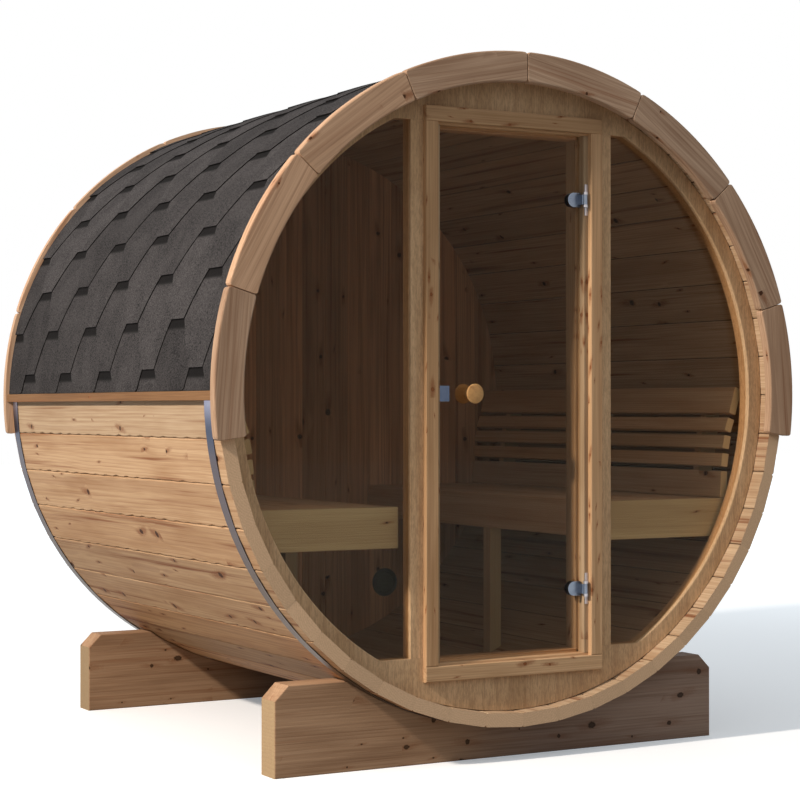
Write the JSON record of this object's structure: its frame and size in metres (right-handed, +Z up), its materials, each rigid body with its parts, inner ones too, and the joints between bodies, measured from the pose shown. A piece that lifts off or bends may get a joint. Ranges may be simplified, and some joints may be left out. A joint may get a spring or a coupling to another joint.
{
  "type": "barrel sauna",
  "caption": "Round timber barrel sauna on two cradles, with a glazed front, a hinged glass door, a shingled roof and benches inside.",
  "frame": {"origin": "on the ground, midway between the barrel's two ends and under its axis", "axes": "+Z up, the barrel's axis along Y with the glazed front facing -Y, +X to the right seen from the front"},
  "size_m": [2.048, 1.816, 2.1259],
  "materials": {
    "stave_wood": "planed softwood, satin",
    "trim_wood": "planed softwood, satin",
    "cradle_wood": "planed softwood, matte",
    "wall_wood": "planed softwood boards, satin",
    "frame_wood": "planed softwood, satin",
    "bench_wood": "planed pale softwood, satin",
    "batten_wood": "planed softwood, satin",
    "knob_wood": "turned pale wood, satin",
    "shingle": "mineral-faced bitumen, matte",
    "hoop_steel": "satin",
    "fitting_steel": "satin",
    "tinted_glass": "bronze tint, polished",
    "vent_plastic": "matte"
  },
  "bodies": {
    "cabin": {"back_wall": "wall_wood", "backrest_left": "bench_wood", "backrest_right": "bench_wood", "bench_ends": "bench_wood", "bench_fascias": "bench_wood", "bench_legs": "bench_wood", "bench_top_left": "bench_wood", "bench_top_right": "bench_wood", "cradle_front": "cradle_wood", "cradle_rear": "cradle_wood", "door_frame_head": "frame_wood", "door_frame_left": "frame_wood", "door_frame_right": "frame_wood", "door_frame_sill": "frame_wood", "front_post_left": "wall_wood", "front_post_right": "wall_wood", "front_wall_bottom": "wall_wood", "front_wall_left": "wall_wood", "front_wall_right": "wall_wood", "front_wall_top": "wall_wood", "hinge_plates": "fitting_steel", "hoops": "hoop_steel", "roof_battens": "batten_wood", "roof_covering": "shingle", "stave_panel_01": "stave_wood", "stave_panel_02": "stave_wood", "stave_panel_03": "stave_wood", "stave_panel_04": "stave_wood", "stave_panel_05": "stave_wood", "stave_panel_06": "stave_wood", "stave_panel_07": "stave_wood", "stave_panel_08": "stave_wood", "stave_panel_09": "stave_wood", "stave_panel_10": "stave_wood", "stave_panel_11": "stave_wood", "stave_panel_12": "stave_wood", "trim_front": "trim_wood", "trim_rear": "trim_wood", "vent": "vent_plastic", "window_left": "tinted_glass", "window_right": "tinted_glass"},
    "door": {"door_glass": "tinted_glass", "door_knobs": "knob_wood", "hinge_clamps": "fitting_steel", "latch_plate": "fitting_steel"}
  },
  "joints": [
    {"name": "door_hinge", "type": "hinge", "parent": "cabin", "child": "door", "pos_m": [0.256, -0.8385, 1.102], "axis": [0, 0, 1], "range_deg": [0, 110]}
  ]
}
